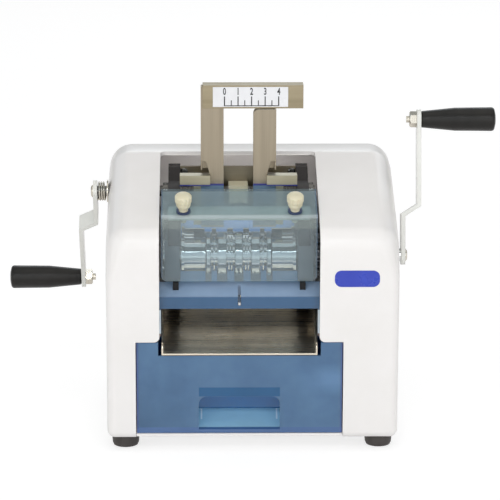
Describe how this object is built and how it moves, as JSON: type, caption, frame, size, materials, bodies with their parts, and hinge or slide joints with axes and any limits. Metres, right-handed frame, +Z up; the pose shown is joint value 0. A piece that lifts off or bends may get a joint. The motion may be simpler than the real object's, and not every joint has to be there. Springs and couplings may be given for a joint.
{
  "type": "pill blister remover",
  "caption": "Hand-cranked bench machine whose rollers squeeze pills out of a blister sheet fed between two adjustable guides, with a clear guard, a chute and a drawer.",
  "frame": {"origin": "on the table, midway between the ends of the two crank grips and midway between the front face and the rearmost point", "axes": "+X to the right as seen from the front, +Y to the rear, +Z up"},
  "size_m": [0.368, 0.1514, 0.2615],
  "materials": {
    "casing_paint": "satin",
    "black_paint": "satin",
    "grey_block": "matt",
    "stainless": "brushed",
    "bright_steel": "ground",
    "gear_steel": "machined",
    "zinc_steel": "bright",
    "plated_strap": "satin",
    "bronze": "turned",
    "cream_plastic": "satin",
    "black_plastic": "satin",
    "black_rubber": "matt",
    "clear_blue": "clear, polished",
    "blue_panel": "polished",
    "blue_drawer": "polished",
    "badge_film": "gloss",
    "printed_label": "printed"
  },
  "bodies": {
    "machine": {"casing": "casing_paint", "rear_cover": "casing_paint", "rear_cover_screws": "zinc_steel", "base_plate": "casing_paint", "feet": "black_rubber", "foot_screws": "zinc_steel", "chassis": "stainless", "left_frame": "black_paint", "right_frame": "black_paint", "left_bearing_block": "grey_block", "right_bearing_block": "grey_block", "frame_bushes": "bronze", "cross_bars": "bright_steel", "cross_bar_nuts": "zinc_steel", "rear_plate": "stainless", "rear_plate_screws": "zinc_steel", "gear_plate": "stainless", "gear_plate_bushes": "bronze", "centre_support": "cream_plastic", "guide_rod": "bright_steel", "cover_bar": "stainless", "cover_pads": "black_rubber", "lower_panel": "blue_panel", "rear_baffle": "blue_panel", "stripper_finger": "bright_steel", "chute": "stainless", "badge": "badge_film", "spring_washer": "zinc_steel"},
    "main_roller": {"main_shaft": "bright_steel", "main_roller": "bright_steel", "pressing_discs": "bright_steel", "thin_rings": "bright_steel", "drive_gear": "gear_steel", "right_crank_arm": "plated_strap", "right_crank_fasteners": "zinc_steel"},
    "rear_roller": {"rear_shaft": "bright_steel", "rear_roller": "bright_steel", "driven_gear": "gear_steel"},
    "right_grip": {"right_grip": "black_plastic"},
    "leadscrew": {"leadscrew": "bright_steel", "leadscrew_collars": "zinc_steel", "left_crank_arm": "plated_strap", "left_crank_fasteners": "zinc_steel", "brake_spring": "zinc_steel"},
    "left_grip": {"left_grip": "black_plastic"},
    "left_guide": {"left_carrier": "stainless", "left_nut": "bronze", "left_guide": "stainless", "left_slide_plate": "blue_panel", "scale_bar": "stainless", "scale_label": "printed_label"},
    "right_guide": {"right_carrier": "stainless", "right_nut": "bronze", "right_guide": "stainless", "right_slide_plate": "blue_panel"},
    "guard_cover": {"guard_cover": "clear_blue", "thumbscrew_washers": "black_rubber"},
    "left_thumbscrew": {"left_thumbscrew": "cream_plastic"},
    "right_thumbscrew": {"right_thumbscrew": "cream_plastic"},
    "drawer": {"drawer": "blue_drawer"}
  },
  "joints": [
    {"name": "main_roller_spin", "type": "hinge", "parent": "machine", "child": "main_roller", "pos_m": [0, -0.01767, 0.1345], "axis": [1, 0, 0], "continuous": true},
    {"name": "rear_roller_spin", "type": "hinge", "parent": "machine", "child": "rear_roller", "pos_m": [0, 0.01233, 0.1345], "axis": [1, 0, 0], "continuous": true},
    {"name": "right_grip_spin", "type": "hinge", "parent": "main_roller", "child": "right_grip", "pos_m": [0, 0.00505, 0.23291], "axis": [1, 0, 0], "continuous": true},
    {"name": "leadscrew_turn", "type": "hinge", "parent": "machine", "child": "leadscrew", "pos_m": [0, 0.00883, 0.1775], "axis": [1, 0, 0], "range_deg": [-1710, 1800]},
    {"name": "left_grip_spin", "type": "hinge", "parent": "leadscrew", "child": "left_grip", "pos_m": [0, 0.06677, 0.09477], "axis": [1, 0, 0], "continuous": true},
    {"name": "left_guide_slide", "type": "slide", "parent": "machine", "child": "left_guide", "axis": [1, 0, 0], "range_m": [-0.0095, 0.01]},
    {"name": "right_guide_slide", "type": "slide", "parent": "machine", "child": "right_guide", "axis": [1, 0, 0], "range_m": [-0.01, 0.0095]},
    {"name": "cover_lift", "type": "slide", "parent": "machine", "child": "guard_cover", "axis": [0, -0.3206, 0.9472], "range_m": [0, 0.05]},
    {"name": "left_thumbscrew_turn", "type": "hinge", "parent": "guard_cover", "child": "left_thumbscrew", "pos_m": [-0.0484, -0.04956, 0.1763], "axis": [0, -0.3206, 0.9472], "continuous": true},
    {"name": "right_thumbscrew_turn", "type": "hinge", "parent": "guard_cover", "child": "right_thumbscrew", "pos_m": [0.0332, -0.04956, 0.1763], "axis": [0, -0.3206, 0.9472], "continuous": true},
    {"name": "drawer_slide", "type": "slide", "parent": "machine", "child": "drawer", "axis": [0, -1, 0], "range_m": [0, 0.11]}
  ],
  "couplings": [
    {"joint": "rear_roller_spin", "follows": "main_roller_spin", "ratio": -1},
    {"joint": "left_guide_slide", "follows": "leadscrew_turn", "m_per_rad": 0.00031831},
    {"joint": "right_guide_slide", "follows": "leadscrew_turn", "m_per_rad": -0.00031831}
  ]
}
